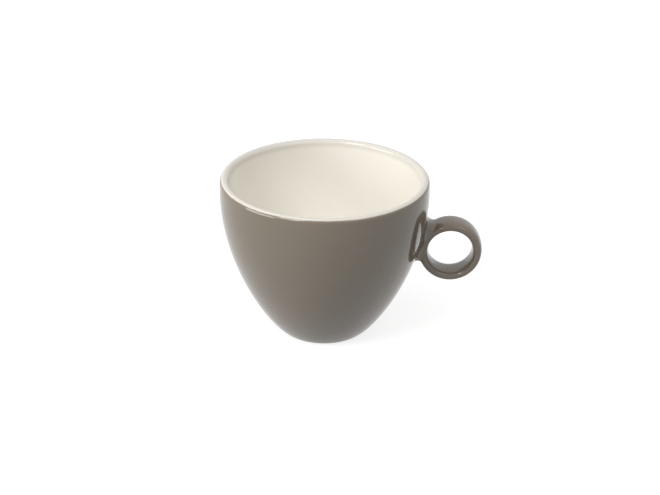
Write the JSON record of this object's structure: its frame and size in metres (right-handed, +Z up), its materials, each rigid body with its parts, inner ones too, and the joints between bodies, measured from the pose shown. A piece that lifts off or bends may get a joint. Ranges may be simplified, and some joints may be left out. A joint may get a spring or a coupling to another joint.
{
  "type": "cappuccino cup",
  "caption": "Round glazed ceramic cup with a wall that curves in to a small foot and a round finger ring as its handle.",
  "frame": {"origin": "on the cup's axis, in the plane of the foot ring's flat underside, where the cup stands", "axes": "+Z up along the cup's axis, +X from the axis through the middle of the ring handle, +Y across the handle"},
  "size_m": [0.1141, 0.0904, 0.072],
  "materials": {
    "fired_clay": "matte",
    "fired_slip": "matte",
    "white_glaze": "gloss",
    "taupe_glaze": "gloss"
  },
  "bodies": {
    "root": {"cup_body": "fired_clay", "ring_handle": "fired_clay", "joint_slip": "fired_slip", "inner_glaze": "white_glaze", "outer_glaze": "taupe_glaze", "handle_glaze": "taupe_glaze", "base_glaze": "white_glaze"}
  },
  "joints": []
}
